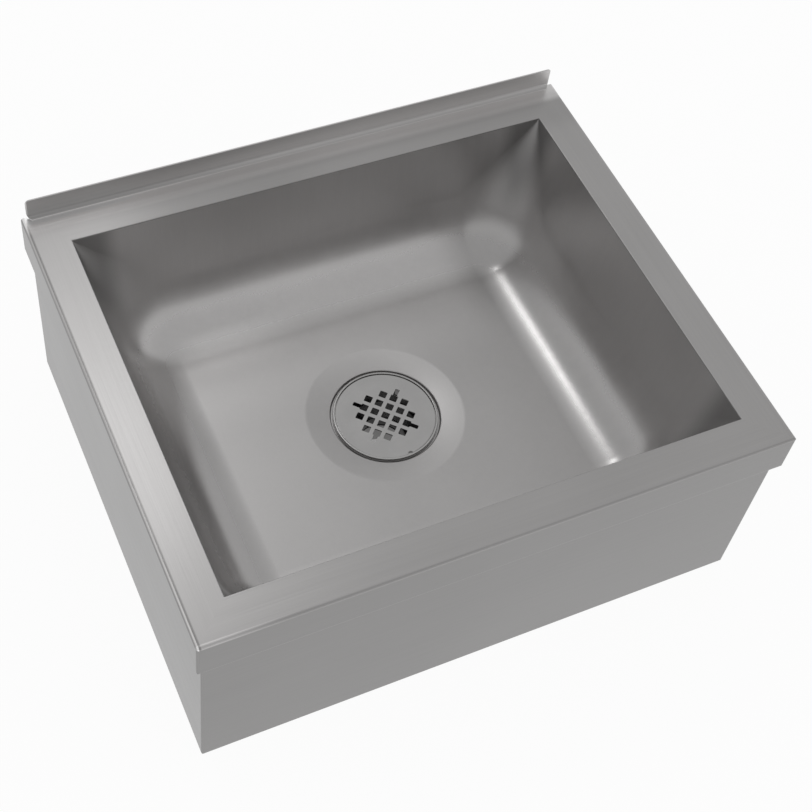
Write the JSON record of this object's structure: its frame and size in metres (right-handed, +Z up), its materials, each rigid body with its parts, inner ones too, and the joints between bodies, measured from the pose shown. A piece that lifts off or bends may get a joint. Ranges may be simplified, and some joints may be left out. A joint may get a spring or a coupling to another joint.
{
  "type": "mop service sink",
  "caption": "Floor-standing stainless mop sink: deep coved bowl, mitred flat rim with skirt and rear upturn, folded apron, and a strainer drain with a threaded outlet.",
  "frame": {"origin": "on the floor, under the middle of the rim's width and depth", "axes": "+X to the user's right as they face the wall, +Y towards the wall behind, +Z up"},
  "size_m": [0.635, 0.5334, 0.2794],
  "materials": {
    "bowl_steel": "satin, drawn and blended",
    "rim_steel": "satin, grained along each strip",
    "apron_steel": "satin, grained along each panel",
    "post_steel": "mill",
    "drain_steel": "turned, bright",
    "strainer_steel": "bright, fine spun",
    "nut_brass": "cast, dull",
    "pipe_steel": "drawn tube, satin",
    "black_rubber": "matte",
    "sealing_ring": "matte",
    "fibre": "pressed fibre, matte"
  },
  "bodies": {
    "sink": {"drawn_bowl": "bowl_steel", "rim_front": "rim_steel", "rim_left": "rim_steel", "rim_right": "rim_steel", "rim_back": "rim_steel", "apron_front": "apron_steel", "apron_left": "apron_steel", "apron_right": "apron_steel", "apron_back": "apron_steel", "post_front_left": "post_steel", "post_front_right": "post_steel", "post_back_left": "post_steel", "post_back_right": "post_steel", "drain_body": "drain_steel", "face_seal": "sealing_ring", "sink_gasket": "black_rubber", "friction_ring": "fibre", "lock_nut": "nut_brass", "tail_washer": "black_rubber", "coupling_nut": "nut_brass", "tailpiece": "pipe_steel"},
    "strainer": {"strainer_plate": "strainer_steel"}
  },
  "joints": [
    {"name": "strainer_lift", "type": "slide", "parent": "sink", "child": "strainer", "axis": [0, 0, 1], "range_m": [0, 0.22]}
  ]
}
